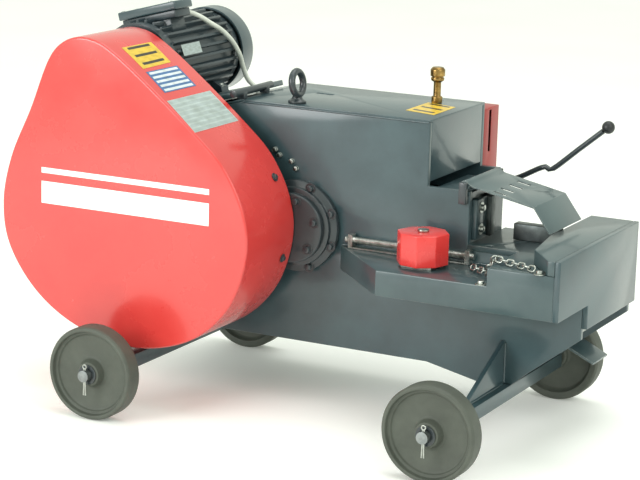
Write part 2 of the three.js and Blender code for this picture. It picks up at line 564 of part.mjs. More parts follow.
function flapGuard() {
  const { y0, y1, hingeX, hingeZ, sheet } = FLAP;
  // the sheet in section: flat over the throat, then bent down towards the anvil
  const line = [[hingeX, hingeZ + 9], [368, 518], [507, 490], [543, 440]];
  const upper = line.map(([x, z]) => [x, z + sheet]);
  const sheetSolid = plateY([...line, [546, 441], ...upper.slice(1, 3).reverse(), upper[0]], y0, y1);
  const knuckle = plateY(circle(hingeX, hingeZ, 11, 16), y0, y1, [circle(hingeX, hingeZ, 6 + GAP, 14)]);
  const slots = [30, 69, 113, 157].map((y) => box(410, 440, y - 6, y + 6, 480, 530));
  add('flap_guard', cut(join(sheetSolid, knuckle), ...slots,
    plateY(circle(hingeX, hingeZ, 6 + GAP, 14), y0 - 1, y1 + 1)), TEAL_PAINT);
  // its pin is held by a lug on the front side plate and one on the ram guide
  add('flap_hinge_pin', join(rodY(hingeX, hingeZ, 6, 2, 199, 14),
    box(hingeX - 8, hingeX + 8, 2, 11, 482, hingeZ + 8),
    box(hingeX - 8, hingeX + 8, 10, BODY.front - GAP, 482, 498),
    box(hingeX - 8, hingeX + 8, 190, 199, RAM.z1 + 13 + GAP, hingeZ + 8)), DARK_PAINT);
}

function controls() {
  const { back } = BODY;
  const red = box(150, HEAD_X, back + GAP, 385, 465, 630);
  const inside = box(153, HEAD_X - 3, back - 1, 382, 468, 627);
  const slot = box(HEAD_X - 10, HEAD_X + 10, 333, 345, 532, 624);
  add('control_box', cut(red, inside, slot), RED_PAINT);

  const { x, y, z } = LEVER;
  const hub = rodY(x, z, 18, y - 8, y + 8, 20);
  const bar = bentBar([
    [296, y, 465], [347, y, 486], [398, y, 513], [408, y, 516], [418, y, 510.5], [428, y, 516], [480, y, 561],
    [534.7, y, 607.7],
  ], 6, 28, 8);
  add('hand_lever', cut(join(hub, bar), rodY(x, z, 9 + GAP, y - 20, y + 20, 16)), DARK_PAINT);
  add('lever_knob', new THREE.SphereGeometry(14, 20, 12).translate(546, y, 617), BLACK_PLASTIC);

  const tread = plateY([[535, 186], [558, 185], [621, 156], [622, 160], [560, 190], [535, 198]], 100, 183);
  const tube = rodY(540, 192, 15, 100, 183, 20);
  add('foot_pedal', cut(join(tread, tube), rodY(540, 192, 9 + GAP, 90, 190, 16)), TEAL_PAINT);
  add('pedal_rod', rodY(540, 192, 9, BODY.front + BODY.sheet + GAP, back - BODY.sheet - GAP, 16), BRIGHT_STEEL);
}

function fittings() {
  const ringZ = BODY.top + 43;
  const ring = new THREE.TorusGeometry(25, 7.5, 10, 22).rotateY(Math.PI / 2 - 0.15).translate(-62, 50, ringZ);
  const stem = turnedZ(-62, 50, [[0, BODY.top + GAP], [20, BODY.top + GAP], [20, BODY.top + 5], [11, BODY.top + 14],
    [0, BODY.top + 22]], 18);
  add('eye_bolt', join(ring, stem), DARK_PAINT);
  add('breather', turnedZ(184, 231, [
    [0, BODY.top + GAP], [12, BODY.top + GAP], [12, BODY.top + 14], [8, BODY.top + 17], [8, BODY.top + 46],
    [15, BODY.top + 52], [16, BODY.top + 74], [12, BODY.top + 79], [0, BODY.top + 79],
  ], 20), BRASS);
  add('keeper_chain', bentBar([
    [400, -44, 366], [430, -66, 367], [451, -84, 370], [463, -95, 388], [475, -103, 406], [496, -110, 404],
    [534, -121, 403], [574, -138, 403],
  ], 6, 28, 8), BRIGHT_STEEL);
}

bodyPlates();
tableAndAnvil();
ramAndGuides();
gearTrain();
beltDrive();
motor();
beltGuard();
runningGear();
retainingCam();
flapGuard();
controls();
fittings();

export default model;
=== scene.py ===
import math

import bpy
from mathutils import Matrix, Vector


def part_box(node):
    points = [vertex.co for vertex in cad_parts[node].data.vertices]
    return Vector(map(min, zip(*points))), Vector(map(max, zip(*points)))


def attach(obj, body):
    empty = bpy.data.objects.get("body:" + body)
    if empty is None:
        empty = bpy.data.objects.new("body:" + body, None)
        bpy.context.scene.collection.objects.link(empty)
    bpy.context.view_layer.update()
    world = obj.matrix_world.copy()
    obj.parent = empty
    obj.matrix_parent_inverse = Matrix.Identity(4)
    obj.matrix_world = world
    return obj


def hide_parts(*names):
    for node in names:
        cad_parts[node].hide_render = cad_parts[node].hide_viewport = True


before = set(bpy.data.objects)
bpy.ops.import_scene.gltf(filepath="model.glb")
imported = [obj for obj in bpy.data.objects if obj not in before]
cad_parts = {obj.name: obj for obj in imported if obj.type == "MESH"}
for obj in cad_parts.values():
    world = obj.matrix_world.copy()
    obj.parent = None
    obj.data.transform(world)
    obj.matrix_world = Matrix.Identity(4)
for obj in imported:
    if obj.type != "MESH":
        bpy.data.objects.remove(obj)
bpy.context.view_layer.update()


# ---------------------------------------------------------------------------
# The room: a pale painted floor under soft lamps, seen from the belt guard's
# side, a little to the right and from above.
# ---------------------------------------------------------------------------
def linear(hex_colour):
    """The linear colour, with alpha, of an sRGB hex code."""
    parts = [int(hex_colour[i:i + 2], 16) / 255 for i in (1, 3, 5)]
    return (*[c / 12.92 if c <= 0.04045 else ((c + 0.055) / 1.055) ** 2.4 for c in parts], 1)


def add_node(material, kind, inputs=None, **settings):
    """A shader node whose inputs are either sockets to link from or plain values."""
    node = material.node_tree.nodes.new(kind)
    for setting, value in settings.items():
        setattr(node, setting, value)
    for key, value in (inputs or {}).items():
        if isinstance(value, bpy.types.NodeSocket):
            material.node_tree.links.new(value, node.inputs[key])
        else:
            node.inputs[key].default_value = value
    return node


def new_material(name, roughness, metallic=0.0):
    material = bpy.data.materials.new(name)
    material.use_nodes = True
    shader = material.node_tree.nodes["Principled BSDF"]
    shader.inputs["Roughness"].default_value = roughness
    shader.inputs["Metallic"].default_value = metallic
    return material, shader


def connect(material, output, socket):
    material.node_tree.links.new(output, socket)


def ramp_of(material, factor, stops):
    """A ramp between two colours, each at its own value of the factor."""
    ramp = add_node(material, "ShaderNodeValToRGB", {"Fac": factor})
    for element, (position, colour) in zip(ramp.color_ramp.elements, stops):
        element.position = position
        element.color = linear(colour)
    return ramp.outputs["Color"]


def nothing_selected():
    bpy.ops.object.select_all(action="DESELECT")


scene = bpy.context.scene
scene.view_settings.view_transform = "Standard"
scene.view_settings.look = "None"

# floor paint: matt, with faint clouds where it was rolled on
floor_paint, shader = new_material("rolled_floor_paint", 0.75)
spot = add_node(floor_paint, "ShaderNodeTexCoord")
cloud = add_node(floor_paint, "ShaderNodeTexNoise", {"Vector": spot.outputs["Object"], "Scale": 1.5, "Detail": 3})
connect(floor_paint, ramp_of(floor_paint, cloud.outputs["Fac"], [(0.3, "#f7f7f4"), (0.7, "#fbfbf9")]),
        shader.inputs["Base Color"])
shader.inputs["Emission Color"].default_value = linear("#f7fbf2")
shader.inputs["Emission Strength"].default_value = 0.14
nothing_selected()
bpy.ops.mesh.primitive_plane_add(size=40, location=(0, 0, -0.0005))
floor = bpy.context.object
floor.name = "floor"
bpy.ops.object.transform_apply(location=True, rotation=True, scale=True)
floor.data.materials.append(floor_paint)

world = bpy.data.worlds.new("studio")
scene.world = world
world.use_nodes = True
world.node_tree.nodes["Background"].inputs["Color"].default_value = linear("#f3fbee")
world.node_tree.nodes["Background"].inputs["Strength"].default_value = 0.95

for name, place, aim, size, power in [
    ("window_right", (4.2, -1.4, 3.2), (0.2, 0, 0.4), 2.6, 70),
    ("window_front", (-2.2, -4.4, 2.2), (-0.2, 0, 0.4), 2.4, 150),
    ("ceiling", (0.4, 0.6, 4.2), (0.2, 0, 0.3), 3.0, 60),
]:
    lamp = bpy.data.lights.new(name, "AREA")
    lamp.size = size
    lamp.energy = power
    holder = bpy.data.objects.new(name, lamp)
    scene.collection.objects.link(holder)
    holder.location = place
    holder.rotation_euler = (Vector(aim) - Vector(place)).to_track_quat("-Z", "Y").to_euler()

# a long lens from 4.9 m away
YAW, PITCH, ROLL = (math.radians(v) for v in (27.097, 12.921, 1.559))
PLACE = (2.166, -4.1794, 1.4424)
LENS = 126.9
looks = Vector((-math.sin(YAW) * math.cos(PITCH), math.cos(YAW) * math.cos(PITCH), -math.sin(PITCH)))
level = Vector((math.cos(YAW), math.sin(YAW), 0))
over = level.cross(looks)
right = math.cos(ROLL) * level + math.sin(ROLL) * over
up = -math.sin(ROLL) * level + math.cos(ROLL) * over
camera = bpy.data.objects.new("camera", bpy.data.cameras.new("camera"))
scene.collection.objects.link(camera)
camera.data.sensor_width = 36
camera.data.lens = LENS
camera.data.clip_end = 100
camera.matrix_world = Matrix.Translation(PLACE) @ Matrix((right, up, -looks)).transposed().to_4x4()
scene.camera = camera


# ---------------------------------------------------------------------------
# Welded body: side plates, floor and top sheet in 12 mm and 5 mm steel, cut
# by flame, welded at their edges and sprayed with blue-grey enamel.
# ---------------------------------------------------------------------------
def enamel(name, deep, pale, roughness, clearcoat, bared="#8d928f", bare_share=0.5, chip_from=0.5):
    """Sprayed machine enamel: orange peel a few millimetres across, clouds of hand dirt, and edges rubbed thin."""
    material, shader = new_material(name, roughness)
    spot = add_node(material, "ShaderNodeTexCoord").outputs["Object"]
    cloud = add_node(material, "ShaderNodeTexNoise", {"Vector": spot, "Scale": 7, "Detail": 6, "Roughness": 0.6})
    coat = ramp_of(material, cloud.outputs["Fac"], [(0.3, deep), (0.72, pale)])
    # thin paint on the edges: a rounded normal differs from the flat one only near them
    rounded = add_node(material, "ShaderNodeBevel", {"Radius": 0.0022}, samples=4)
    true = add_node(material, "ShaderNodeNewGeometry")
    same = add_node(material, "ShaderNodeVectorMath", {0: rounded.outputs["Normal"], 1: true.outputs["Normal"]},
                    operation="DOT_PRODUCT")
    edge = add_node(material, "ShaderNodeMapRange",
                    {"Value": same.outputs["Value"], "From Min": 0.99, "From Max": 0.92, "To Min": 0, "To Max": 1})
    chips = add_node(material, "ShaderNodeTexNoise", {"Vector": spot, "Scale": 90, "Detail": 4, "Roughness": 0.7})
    chipped = add_node(material, "ShaderNodeMapRange",
                       {"Value": chips.outputs["Fac"], "From Min": chip_from, "From Max": chip_from + 0.14,
                        "To Min": 0, "To Max": bare_share})
    worn = add_node(material, "ShaderNodeMath", {0: edge.outputs["Result"], 1: chipped.outputs["Result"]},
                    operation="MULTIPLY")
    mixed = add_node(material, "ShaderNodeMix", data_type="RGBA")
    connect(material, worn.outputs["Value"], mixed.inputs[0])
    connect(material, coat, mixed.inputs[6])
    mixed.inputs[7].default_value = linear(bared)
    connect(material, mixed.outputs[2], shader.inputs["Base Color"])
    gloss = add_node(material, "ShaderNodeMapRange",
                     {"Value": cloud.outputs["Fac"], "From Min": 0.3, "From Max": 0.7,
                      "To Min": roughness - 0.06, "To Max": roughness + 0.08})
    connect(material, gloss.outputs["Result"], shader.inputs["Roughness"])
    peel = add_node(material, "ShaderNodeTexNoise", {"Vector": spot, "Scale": 260, "Detail": 2})
    bump = add_node(material, "ShaderNodeBump",
                    {"Strength": 0.12, "Distance": 0.0006, "Height": peel.outputs["Fac"],
                     "Normal": rounded.outputs["Normal"]})
    connect(material, bump.outputs["Normal"], shader.inputs["Normal"])
    shader.inputs["Coat Weight"].default_value = clearcoat
    shader.inputs["Coat Roughness"].default_value = 0.14
    return material


blue_grey_enamel = enamel("blue_grey_machine_enamel", "#2b3d43", "#3d5358", 0.36, clearcoat=0.55)
dark_enamel = enamel("dark_machine_enamel", "#20282c", "#2d373c", 0.4, clearcoat=0.5)


def painted(material, *names):
    for name in names:
        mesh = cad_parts[name].data
        mesh.materials.clear()
        mesh.materials.append(material)


def finished(piece, material, body, slot_name, *stands_for):
    """The piece gets its finish, moves with its body, and stands for the plain solids."""
    piece.data.materials.clear()
    piece.data.materials.append(material)
    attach(piece, body)
    if stands_for:
        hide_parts(*stands_for)
    return piece


def only(piece):
    nothing_selected()
    piece.select_set(True)
    bpy.context.view_layer.objects.active = piece


def rounded_off(piece, width, rings=2, angle=28, smooth=32):
    """Breaks the piece's edges, as a file or a grinder does."""
    only(piece)
    if width:
        edge = piece.modifiers.new("edges", "BEVEL")
        edge.width = width
        edge.segments = rings
        edge.limit_method = "ANGLE"
        edge.angle_limit = math.radians(angle)
        edge.use_clamp_overlap = True
        bpy.ops.object.modifier_apply(modifier=edge.name)
    bpy.ops.object.shade_smooth_by_angle(angle=math.radians(smooth))


def from_solid(node_name, name, width, rings=2, angle=28):
    """A copy of a plain solid with its flat faces joined up and its edges broken."""
    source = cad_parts[node_name]
    piece = source.copy()
    piece.data = source.data.copy()
    piece.name = name
    piece.parent = None
    piece.matrix_world = Matrix.Identity(4)
    scene.collection.objects.link(piece)
    only(piece)
    bpy.ops.object.mode_set(mode="EDIT")
    bpy.ops.mesh.select_all(action="SELECT")
    bpy.ops.mesh.remove_doubles(threshold=0.00002)
    bpy.ops.mesh.dissolve_limited(angle_limit=math.radians(0.6))
    bpy.ops.object.mode_set(mode="OBJECT")
    rounded_off(piece, width, rings, angle)
    return piece


for node_name, name, width in [
    ("side_plate_front", "front_side_plate", 0.0015), ("side_plate_rear", "rear_side_plate", 0.0015),
    ("top_cover", "bent_top_sheet", 0.0012), ("body_floor", "floor_sheet", 0.0012),
]:
    finished(from_solid(node_name, name, width), blue_grey_enamel, "frame", "body_paint", node_name)


def weld_bead(name, points, radius=0.003):
    """A fillet weld: a bead laid in overlapping ripples about 3 mm apart."""
    nothing_selected()
    bpy.ops.curve.primitive_bezier_curve_add()
    bead = bpy.context.object
    bead.name = name
    line = bead.data
    line.splines.clear()
    spline = line.splines.new("POLY")
    lengths = [(Vector(b) - Vector(a)).length for a, b in zip(points, points[1:])]
    steps = [max(2, int(length / 0.0032)) for length in lengths]
    spots = [Vector(points[0])]
    for a, b, count in zip(points, points[1:], steps):
        spots += [Vector(a).lerp(Vector(b), (i + 1) / count) for i in range(count)]
    spline.points.add(len(spots) - 1)
    for i, spot in enumerate(spots):
        spline.points[i].co = (*spot, 1)
        spline.points[i].radius = 1.0 + 0.16 * (i % 2) + 0.08 * math.sin(i * 1.7)
    line.dimensions = "3D"
    line.bevel_depth = radius
    line.bevel_resolution = 1
    line.use_fill_caps = True
    bpy.ops.object.convert(target="MESH")
    bpy.ops.object.shade_smooth()
    return finished(bead, blue_grey_enamel, "frame", "body_paint")


# the head's end plate is welded inside the side plates, and the top sheet lies on their edges
weld_bead("weld_under_top_front", [(-0.178, 0.0195, 0.6405), (0.264, 0.0195, 0.6405)], 0.002)


# ---------------------------------------------------------------------------
# Ledge, table and anvil: plates welded on in front of and around the throat
# where the bars are cut; the same enamel, rubbed where bars slide over it.
# ---------------------------------------------------------------------------
rubbed_enamel = enamel("rubbed_table_enamel", "#304247", "#46595b", 0.38, bared="#9aa09b", bare_share=0.9,
                       clearcoat=0.5, chip_from=0.4)
for node_name, name, width, coat in [
    ("ledge", "front_ledge", 0.002, rubbed_enamel), ("table_plate", "cutting_table", 0.0015, rubbed_enamel),
    ("anvil_block", "anvil", 0.002, rubbed_enamel), ("anvil_end_plate", "end_plate", 0.0015, blue_grey_enamel),
    ("ram_guide", "ram_guide_block", 0.0012, blue_grey_enamel),
]:
    finished(from_solid(node_name, name, width), coat, "frame", "body_paint", node_name)
weld_bead("weld_ledge_to_side", [(0.072, 0.017, 0.3585), (0.475, 0.017, 0.3585)])
weld_bead("weld_ledge_corner", [(0.6215, -0.1465, 0.305), (0.6215, -0.1465, 0.3935)], 0.0016)
weld_bead("weld_step", [(0.4755, -0.137, 0.3585), (0.4755, 0.016, 0.3585)])
weld_bead("weld_under_ledge", [(0.075, 0.0165, 0.302), (0.618, 0.0165, 0.302)])


# ---------------------------------------------------------------------------
# Bearing flange and cap on the front side plate: turned castings bolted over
# the crankshaft's end; plain turned covers close the rear ends.
# ---------------------------------------------------------------------------
for node_name, name in [
    ("crank_bearing_flange", "bearing_flange"), ("crank_bearing_cap", "bearing_cap"),
    ("crank_cover", "rear_crank_cover"), ("pinion_cover", "rear_pinion_cover"),
]:
    finished(from_solid(node_name, name, 0.0012), dark_enamel, "frame", "dark_paint", node_name)


def plated(name, dull, bright, roughness, scale=60):
    """Bare bright metal, zinc plated or ground: a mottled sheen with fine rub marks."""
    material, shader = new_material(name, roughness, 1.0)
    spot = add_node(material, "ShaderNodeTexCoord").outputs["Object"]
    cloud = add_node(material, "ShaderNodeTexNoise", {"Vector": spot, "Scale": scale, "Detail": 5, "Roughness": 0.65})
    connect(material, ramp_of(material, cloud.outputs["Fac"], [(0.3, dull), (0.7, bright)]),
            shader.inputs["Base Color"])
    sheen = add_node(material, "ShaderNodeMapRange",
                     {"Value": cloud.outputs["Fac"], "From Min": 0.3, "From Max": 0.7,
                      "To Min": roughness + 0.1, "To Max": roughness - 0.08})
    connect(material, sheen.outputs["Result"], shader.inputs["Roughness"])
    grain = add_node(material, "ShaderNodeTexNoise", {"Vector": spot, "Scale": scale * 9, "Detail": 3})
    bump = add_node(material, "ShaderNodeBump",
                    {"Strength": 0.15, "Distance": 0.0002, "Height": grain.outputs["Fac"]})
    connect(material, bump.outputs["Normal"], shader.inputs["Normal"])
    return material


zinc_plate = plated("zinc_plated_steel", "#8f948f", "#c9ccc6", 0.32)


def hex_bolt(name, across, height, washer=1.9):
    """A hexagon bolt's head on its washer, standing on the origin and looking along +Z."""
    nothing_selected()
    bpy.ops.mesh.primitive_cylinder_add(vertices=6, radius=across / 2 / math.cos(math.pi / 6), depth=height,
                                        location=(0, 0, 0.0015 + height / 2))
    head = bpy.context.object
    bpy.ops.object.transform_apply(location=True, rotation=True, scale=True)
    bpy.ops.object.mode_set(mode="EDIT")
    bpy.ops.mesh.select_all(action="DESELECT")
    bpy.ops.object.mode_set(mode="OBJECT")
    for face in head.data.polygons:
        face.select = face.normal.z > 0.9
    bpy.ops.object.mode_set(mode="EDIT")
    bpy.ops.mesh.inset(thickness=across * 0.07, depth=height * 0.16)
    bpy.ops.object.mode_set(mode="OBJECT")
    bpy.ops.mesh.primitive_cylinder_add(vertices=20, radius=across * washer / 2, depth=0.0015,
                                        location=(0, 0, 0.00075))
    ring = bpy.context.object
    bpy.ops.object.transform_apply(location=True, rotation=True, scale=True)
    nothing_selected()
    ring.select_set(True)
    head.select_set(True)
    bpy.context.view_layer.objects.active = head
    bpy.ops.object.join()
    head.name = name
    rounded_off(head, min(across * 0.04, 0.0005), 1)
    return head


def spread(master, name, places, body, material=None, slot_name="bright_steel"):
    """Copies of a small part, one at each place and facing, joined into one piece."""
    copies = []
    for spot, facing, turn in places:
        copy = master.copy()
        copy.data = master.data.copy()
        scene.collection.objects.link(copy)
        standing = Vector(facing).to_track_quat("Z", "Y").to_matrix().to_4x4()
        copy.data.transform(Matrix.Translation(spot) @ standing @ Matrix.Rotation(turn, 4, "Z"))
        copies.append(copy)
    nothing_selected()
    for copy in copies:
        copy.select_set(True)
    bpy.context.view_layer.objects.active = copies[0]
    if len(copies) > 1:
        bpy.ops.object.join()
    group = bpy.context.object
    group.name = name
    return finished(group, material or zinc_plate, body, slot_name)


def round_about(centre, radius, y, count, start, facing=(0, -1, 0)):
    """Places for bolts on a circle about a cross shaft, each bolt left at another angle."""
    return [((centre.x + radius * math.cos(start + i * math.tau / count), y,
              centre.z + radius * math.sin(start + i * math.tau / count)), facing, i * 0.7) for i in range(count)]


def middle_of(node_name):
    low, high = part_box(node_name)
    return (Vector(low) + Vector(high)) / 2


CRANK = middle_of("crank_bearing_flange")
PINION = middle_of("pinion_cover")
small_bolt = hex_bolt("m8_bolt", 0.013, 0.0055)
plain_bolt = hex_bolt("m6_bolt", 0.0105, 0.006, 1.1)
spread(small_bolt, "bearing_cap_bolts", round_about(CRANK, 0.061, -0.022, 6, 0.3), "frame", dark_enamel,
       "dark_paint")
spread(small_bolt, "bearing_flange_bolts", round_about(CRANK, 0.0925, 0.004, 8, 0.4), "frame", dark_enamel,
       "dark_paint")
REAR_COVER_Y = 0.3155
spread(small_bolt, "rear_crank_cover_bolts", round_about(CRANK, 0.078, REAR_COVER_Y, 6, 0.3, (0, 1, 0)), "frame")
spread(small_bolt, "rear_pinion_cover_bolts", round_about(PINION, 0.05, REAR_COVER_Y, 4, 0.3, (0, 1, 0)), "frame")
spread(plain_bolt, "side_plate_bolts", [((x, 0.019, z), (0, -1, 0), turn) for x, z, turn in [
    (-0.095, 0.546, 0.2), (-0.084, 0.535, 0.9), (-0.054, 0.525, 0.4), (-0.043, 0.510, 1.3)]], "frame")


# ---------------------------------------------------------------------------
# Fittings on the top sheet: a forged eye bolt, a brass breather on the gear
# oil filler, and a blank printed label.
# ---------------------------------------------------------------------------
def turned(name, axis, centre, profile, sides, bored=False, width=0.0008, rings=2, angle=20):
    """A turned part: a circle is drawn out through each (radius, place along the axis) of its profile."""
    turn = {"X": (0, math.pi / 2, 0), "Y": (math.pi / 2, 0, 0), "Z": (0, 0, 0)}[axis]
    along = {"X": Vector((1, 0, 0)), "Y": Vector((0, 1, 0)), "Z": Vector((0, 0, 1))}[axis]
    centre = Vector(centre)
    flat = centre - along * centre.dot(along)
    radius, place = profile[0]
    nothing_selected()
    bpy.ops.mesh.primitive_circle_add(vertices=sides, radius=radius, fill_type="NOTHING" if bored else "NGON",
                                      location=flat + along * place, rotation=turn)
    piece = bpy.context.object
    piece.name = name
    bpy.ops.object.transform_apply(location=True, rotation=True, scale=True)
    bpy.ops.object.mode_set(mode="EDIT")
    bpy.ops.mesh.select_all(action="SELECT")
    for next_radius, next_place in profile[1:]:
        bpy.ops.mesh.extrude_region_move(
            TRANSFORM_OT_translate={"value": tuple(along * (next_place - place))})
        share = next_radius / radius
        if abs(share - 1) > 1e-6:
            sizes = tuple(1 if axis_part else share for axis_part in along)
            bpy.ops.transform.resize(value=sizes, center_override=tuple(flat + along * next_place))
        radius, place = next_radius, next_place
    bpy.ops.mesh.select_all(action="SELECT")
    bpy.ops.mesh.remove_doubles(threshold=0.00001)
    if not bored:
        bpy.ops.mesh.fill_holes(sides=0)
    bpy.ops.mesh.select_all(action="SELECT")
    bpy.ops.mesh.normals_make_consistent(inside=False)
    bpy.ops.object.mode_set(mode="OBJECT")
    rounded_off(piece, width, rings, angle)
    return piece


def joined(name, *pieces):
    nothing_selected()
    for piece in pieces:
        piece.select_set(True)
    bpy.context.view_layer.objects.active = pieces[0]
    bpy.ops.object.join()
    pieces[0].name = name
    return pieces[0]


nothing_selected()
bpy.ops.mesh.primitive_torus_add(location=(-0.062, 0.05, 0.689), rotation=(0, math.pi / 2 - 0.15, 0),
                                 major_segments=64, minor_segments=20, major_radius=0.025, minor_radius=0.0075)
ring = bpy.context.object
bpy.ops.object.transform_apply(location=True, rotation=True, scale=True)
bpy.ops.object.shade_smooth()
stem = turned("eye_bolt_stem", "Z", (-0.062, 0.05, 0),
              [(0.0195, 0.6465), (0.0195, 0.651), (0.0125, 0.655), (0.0095, 0.662), (0.010, 0.667)], 48)
finished(joined("forged_eye_bolt", ring, stem), dark_enamel, "frame", "dark_paint", "eye_bolt")


def turned_brass(name):
    """Turned brass, a little tarnished, with tool marks about 2 mm apart."""
    material, shader = new_material(name, 0.3, 1.0)
    spot = add_node(material, "ShaderNodeTexCoord").outputs["Object"]
    cloud = add_node(material, "ShaderNodeTexNoise", {"Vector": spot, "Scale": 70, "Detail": 5})
    connect(material, ramp_of(material, cloud.outputs["Fac"], [(0.3, "#6d5632"), (0.7, "#b9975a")]),
            shader.inputs["Base Color"])
    marks = add_node(material, "ShaderNodeTexWave", {"Vector": spot, "Scale": 160, "Distortion": 0.4},
                     bands_direction="Z")
    bump = add_node(material, "ShaderNodeBump",
                    {"Strength": 0.2, "Distance": 0.0002, "Height": marks.outputs["Fac"]})
    connect(material, bump.outputs["Normal"], shader.inputs["Normal"])
    return material


breather = turned("brass_breather", "Z", middle_of("breather"), [
    (0.012, 0.6465), (0.012, 0.660), (0.0082, 0.662), (0.0082, 0.674), (0.0082, 0.692), (0.0145, 0.696),
    (0.0145, 0.7015), (0.0125, 0.7025), (0.0125, 0.7045), (0.016, 0.7055), (0.016, 0.719), (0.0115, 0.7245),
], 48)
finished(breather, turned_brass("turned_brass"), "frame", "brass", "breather")


def printed_film(name, ground, marks, gap, row):
    """Printed vinyl film with plain blocks of ink and no lettering."""
    material, shader = new_material(name, 0.35)
    spot = add_node(material, "ShaderNodeTexCoord").outputs["UV"]
    print_plan = add_node(material, "ShaderNodeTexBrick", {
        "Vector": spot, "Color1": linear(marks), "Color2": linear(marks), "Mortar": linear(ground),
        "Scale": 1.0, "Mortar Size": gap, "Mortar Smooth": 0.05, "Brick Width": 1.0,
        "Row Height": row}, offset=0.0)
    soil = add_node(material, "ShaderNodeTexNoise", {"Vector": spot, "Scale": 6, "Detail": 4})
    shade = ramp_of(material, soil.outputs["Fac"], [(0.3, "#d8d8d2"), (0.7, "#ffffff")])
    mixed = add_node(material, "ShaderNodeMix", data_type="RGBA", blend_type="MULTIPLY")
    mixed.inputs[0].default_value = 1
    connect(material, print_plan.outputs["Color"], mixed.inputs[6])
    connect(material, shade, mixed.inputs[7])
    connect(material, mixed.outputs[2], shader.inputs["Base Color"])
    return material


# bold bars on the two vinyl films, fine faint ones on the foil plate
yellow_film = printed_film("yellow_vinyl_film", "#e8c23a", "#2a2822", 0.13, 0.36)
blue_film = printed_film("blue_vinyl_film", "#3f6ea6", "#dfe7ec", 0.05, 0.2)
silver_film = printed_film("silver_foil_plate", "#b7c4c2", "#a9b6b6", 0.02, 0.125)

FILM_THICKNESS = 0.0004
PRESS_FROM = 0.003  # a film starts this far outside before it is pressed on


def film(name, corners, material, slot_name, on=None):
    """A label: a thin sheet stretched between four corners and pressed onto what is under it."""
    nothing_selected()
    bpy.ops.mesh.primitive_grid_add(x_subdivisions=14, y_subdivisions=14, size=1)
    label = bpy.context.object
    label.name = name
    a, b, c, d = (Vector(p) for p in corners)
    outward = (b - a).cross(d - a).normalized() * PRESS_FROM if on else Vector()
    for point in label.data.vertices:
        s, t = point.co.x + 0.5, point.co.y + 0.5
        point.co = a.lerp(b, s).lerp(d.lerp(c, s), t) + outward
    if on:
        press = label.modifiers.new("press", "SHRINKWRAP")
        press.target = on
        press.wrap_method = "NEAREST_SURFACEPOINT"
        press.wrap_mode = "ABOVE_SURFACE"
        press.offset = FILM_THICKNESS
        bpy.ops.object.modifier_apply(modifier=press.name)
    thick = label.modifiers.new("thick", "SOLIDIFY")
    thick.thickness = FILM_THICKNESS
    thick.offset = 0
    bpy.ops.object.modifier_apply(modifier=thick.name)
    bpy.ops.object.mode_set(mode="EDIT")
    bpy.ops.mesh.select_all(action="SELECT")
    bpy.ops.mesh.normals_make_consistent(inside=False)
    bpy.ops.object.mode_set(mode="OBJECT")
    bpy.ops.object.shade_smooth_by_angle(angle=math.radians(40))
    return finished(label, material, "frame", slot_name)


film("top_sheet_label", [(0.170, 0.104, 0.6464), (0.245, 0.084, 0.6464), (0.242, 0.201, 0.6464),
                         (0.167, 0.224, 0.6464)], yellow_film, "black_plastic")


# ---------------------------------------------------------------------------
# Belt guard: 4 mm sheet, a pear-shaped face with a deep rim rolled round and
# welded to it, in gloss red enamel; it hides both pulleys and the belts.
# ---------------------------------------------------------------------------
gloss_red_enamel = enamel("gloss_red_enamel", "#cc3634", "#d6403b", 0.25, bared="#b9aaa4", bare_share=0.25,
                          clearcoat=0.7)
GUARD_WALL = 0.0038
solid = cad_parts["belt_guard"]
low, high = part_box("belt_guard")
rim = {(round(v.co.x, 5), round(v.co.z, 5)) for v in solid.data.vertices if v.co.y < low[1] + 0.0001}
# the outline is read off the plain solid, and put in order about a point well inside it
inside_x, inside_z = -0.33, 0.44
rim = sorted(rim, key=lambda p: math.atan2(p[1] - inside_z, p[0] - inside_x))
nothing_selected()
bpy.ops.curve.primitive_bezier_circle_add()
guard = bpy.context.object
guard.name = "pear_belt_guard"
guard.data.splines.clear()
spline = guard.data.splines.new("BEZIER")
spline.bezier_points.add(len(rim) - 1)
spline.use_cyclic_u = True
spline.resolution_u = 3
for knot, (x, z) in zip(spline.bezier_points, rim):
    knot.co = (x, low[1], z)
    knot.handle_left_type = knot.handle_right_type = "AUTO"
guard.data.dimensions = "3D"
bpy.ops.object.convert(target="MESH")
bpy.ops.object.mode_set(mode="EDIT")
bpy.ops.mesh.select_all(action="SELECT")
bpy.ops.mesh.remove_doubles(threshold=0.0001)
bpy.ops.mesh.edge_face_add()
bpy.ops.mesh.extrude_region_move(TRANSFORM_OT_translate={"value": (0, high[1] - low[1], 0)})
bpy.ops.mesh.delete(type="ONLY_FACE")
bpy.ops.mesh.select_all(action="SELECT")
bpy.ops.mesh.normals_make_consistent(inside=False)
bpy.ops.object.mode_set(mode="OBJECT")
for point in guard.data.vertices:
    point.co.x = min(max(point.co.x, low[0]), high[0])
    point.co.z = min(max(point.co.z, low[2]), high[2])
front_normal = next(f.normal.y for f in guard.data.polygons if len(f.vertices) > 20)
if front_normal > 0:
    bpy.ops.object.mode_set(mode="EDIT")
    bpy.ops.mesh.select_all(action="SELECT")
    bpy.ops.mesh.flip_normals()
    bpy.ops.object.mode_set(mode="OBJECT")
rounded_off(guard, 0.005, 4, 40, 40)
wall = guard.modifiers.new("wall", "SOLIDIFY")
wall.thickness = GUARD_WALL
wall.offset = -1
only(guard)
bpy.ops.object.modifier_apply(modifier=wall.name)
bpy.ops.object.shade_smooth_by_angle(angle=math.radians(35))
finished(guard, gloss_red_enamel, "frame", "guard_paint", "belt_guard")

